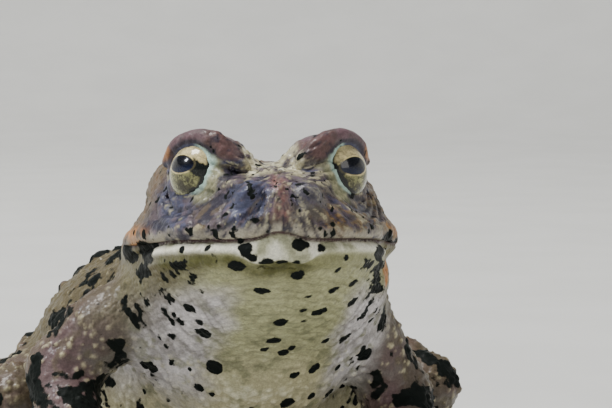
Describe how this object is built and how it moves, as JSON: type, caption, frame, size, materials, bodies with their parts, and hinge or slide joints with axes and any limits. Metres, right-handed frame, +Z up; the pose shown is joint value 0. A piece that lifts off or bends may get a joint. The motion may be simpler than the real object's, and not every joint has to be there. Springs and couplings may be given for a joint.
{
  "type": "western toad",
  "caption": "Broad warty toad sitting still with its head raised, short turned-out arms and folded hind legs, as a life-size solid display model",
  "frame": {"origin": "centre of the toad's box, on the floor", "axes": "+Z is up, the toad faces -Y and +X is on its left"},
  "size_m": [0.0936, 0.0898, 0.053],
  "materials": {
    "head_skin": "moist granular skin, mottled brown with pale and rusty patches",
    "throat_skin": "moist finely wrinkled skin, cream with dark spots",
    "trunk_skin": "warty olive brown skin over a pale spotted belly",
    "limb_skin": "granular skin, brown with dark bars over a cream ground",
    "foot_skin": "smooth moist skin with small pads",
    "eye": "wet gloss over a gold and black iris with a level black pupil"
  },
  "bodies": {
    "root": {"head": "head_skin", "lower_jaw": "throat_skin", "torso": "trunk_skin", "eye_l": "eye", "eye_r": "eye", "upper_arm_l": "limb_skin", "upper_arm_r": "limb_skin", "forearm_l": "limb_skin", "forearm_r": "limb_skin", "hand_l": "foot_skin", "hand_r": "foot_skin", "thigh_l": "limb_skin", "thigh_r": "limb_skin", "shank_l": "limb_skin", "shank_r": "limb_skin", "foot_l": "foot_skin", "foot_r": "foot_skin"}
  },
  "joints": []
}
